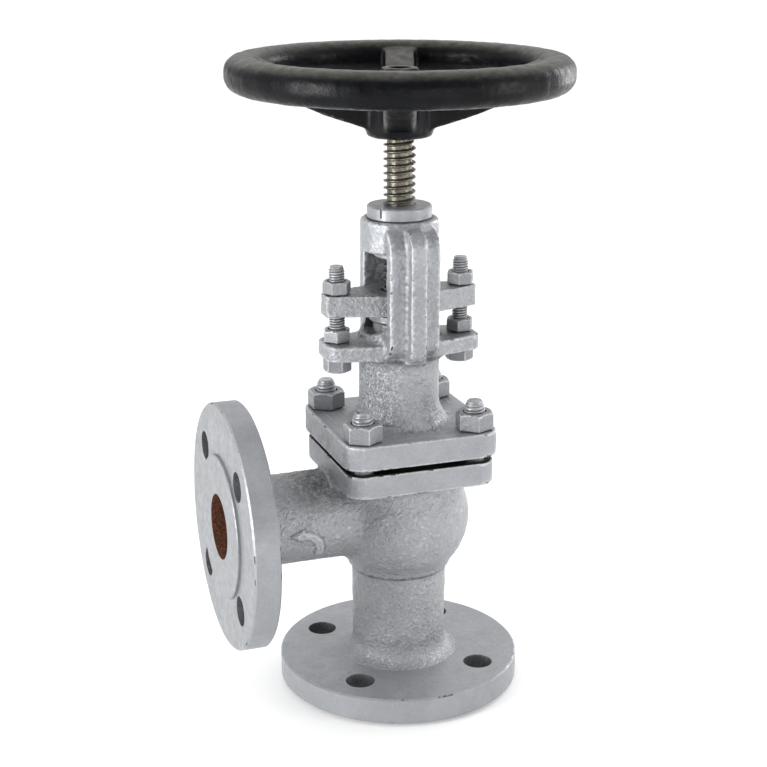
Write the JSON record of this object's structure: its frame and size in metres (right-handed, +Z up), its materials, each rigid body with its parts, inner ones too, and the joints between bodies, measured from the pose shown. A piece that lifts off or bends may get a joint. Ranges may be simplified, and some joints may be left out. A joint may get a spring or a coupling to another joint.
{
  "type": "globe valve",
  "caption": "Flanged angle-pattern globe valve with an outside screw and yoke, a rising stem and a turning handwheel.",
  "frame": {"origin": "centre of the inlet flange's raised face, on the inlet bore's axis", "axes": "+Z up along the stem, the outlet branch along -X, +Y across the valve"},
  "size_m": [0.2165, 0.203, 0.3916],
  "materials": {
    "silver_paint": "satin aluminium paint over a rough casting",
    "turned_paint": "satin aluminium paint over a turned face",
    "painted_fastener": "dull grey paint over steel",
    "stem_steel": "oiled steel with a brown film",
    "trim_steel": "turned and lapped",
    "packing": "braided graphite, matt",
    "black_enamel": "semi-gloss black enamel"
  },
  "bodies": {
    "root": {"body": "silver_paint", "seat_ring": "trim_steel", "bonnet_gasket": "packing", "bonnet": "silver_paint", "backseat_bush": "trim_steel", "bonnet_studs": "painted_fastener", "bonnet_nuts": "painted_fastener", "packing_ring_1": "packing", "packing_ring_2": "packing", "packing_ring_3": "packing", "packing_ring_4": "packing", "packing_ring_5": "packing", "gland_bolts": "painted_fastener", "gland_lock_nuts": "painted_fastener", "yoke_bush": "turned_paint", "bush_lock_screw": "painted_fastener"},
    "disc": {"disc": "trim_steel", "disc_nut": "trim_steel", "disc_lock_pin": "trim_steel"},
    "stem": {"stem": "stem_steel", "handwheel": "black_enamel", "wheel_washer": "painted_fastener", "wheel_nut": "black_enamel"},
    "gland": {"gland_follower": "painted_fastener", "gland_flange": "silver_paint"},
    "gland_nut_left": {"gland_nut_left": "painted_fastener"},
    "gland_nut_right": {"gland_nut_right": "painted_fastener"}
  },
  "joints": [
    {"name": "disc_lift", "type": "slide", "parent": "root", "child": "disc", "axis": [0, 0, 1], "range_m": [0, 0.01694]},
    {"name": "stem_turn", "type": "hinge", "parent": "disc", "child": "stem", "pos_m": [0, 0, 0.3], "axis": [0, 0, 1], "range_deg": [0, 1440]},
    {"name": "gland_slide", "type": "slide", "parent": "root", "child": "gland", "axis": [0, 0, 1], "range_m": [-0.005, 0], "deforming": ["packing_ring_1", "packing_ring_2", "packing_ring_3", "packing_ring_4", "packing_ring_5"]},
    {"name": "gland_nut_left_turn", "type": "hinge", "parent": "gland", "child": "gland_nut_left", "pos_m": [-0.0394, 0, 0.2573], "axis": [0, 0, 1], "range_deg": [-1135, 0]},
    {"name": "gland_nut_right_turn", "type": "hinge", "parent": "gland", "child": "gland_nut_right", "pos_m": [0.0394, 0, 0.2573], "axis": [0, 0, 1], "range_deg": [-1135, 0]}
  ],
  "couplings": [
    {"joint": "disc_lift", "follows": "stem_turn", "m_per_rad": 0.00067376},
    {"joint": "gland_nut_left_turn", "follows": "gland_slide", "rad_per_m": 3957.9},
    {"joint": "gland_nut_right_turn", "follows": "gland_slide", "rad_per_m": 3957.9}
  ]
}
